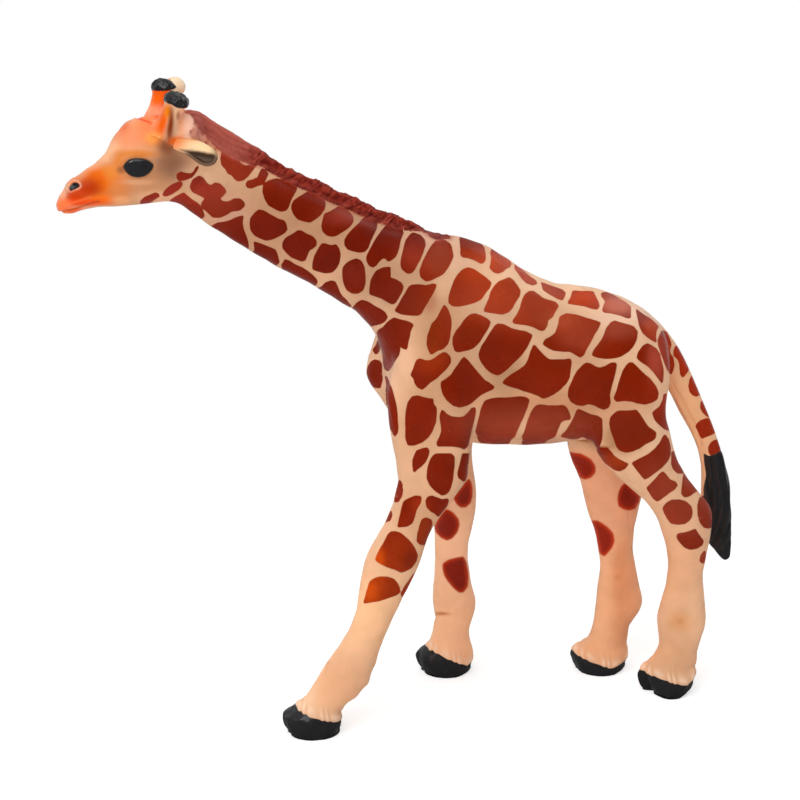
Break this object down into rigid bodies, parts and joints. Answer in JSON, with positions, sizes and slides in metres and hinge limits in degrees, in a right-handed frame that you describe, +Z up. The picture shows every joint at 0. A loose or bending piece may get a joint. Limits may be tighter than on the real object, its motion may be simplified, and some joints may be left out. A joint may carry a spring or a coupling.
{
  "type": "toy giraffe figure",
  "caption": "Standing toy giraffe in painted rigid PVC, in a walking pose, with a long raised neck, two horns, leaf ears, a ridged mane and a tufted tail.",
  "frame": {"origin": "centre of the figure's bounding box, on the plane that the four hooves stand on", "axes": "+Z up, -X the way that the giraffe faces, -Y its left side"},
  "size_m": [0.173, 0.0438, 0.1635],
  "materials": {
    "coat_paint": "satin paint on PVC",
    "leg_paint": "satin paint on PVC",
    "face_paint": "satin paint on PVC",
    "mane_paint": "satin paint on PVC",
    "tail_paint": "satin paint on PVC",
    "horn_paint": "satin paint on PVC",
    "ear_paint": "satin paint on PVC"
  },
  "bodies": {
    "root": {"torso": "coat_paint", "neck": "coat_paint", "head": "face_paint", "mane": "mane_paint", "left_ossicone": "horn_paint", "right_ossicone": "horn_paint", "left_ear": "ear_paint", "right_ear": "ear_paint", "front_left_leg": "leg_paint", "front_right_leg": "leg_paint", "rear_left_leg": "leg_paint", "rear_right_leg": "leg_paint", "tail": "tail_paint"}
  },
  "joints": []
}
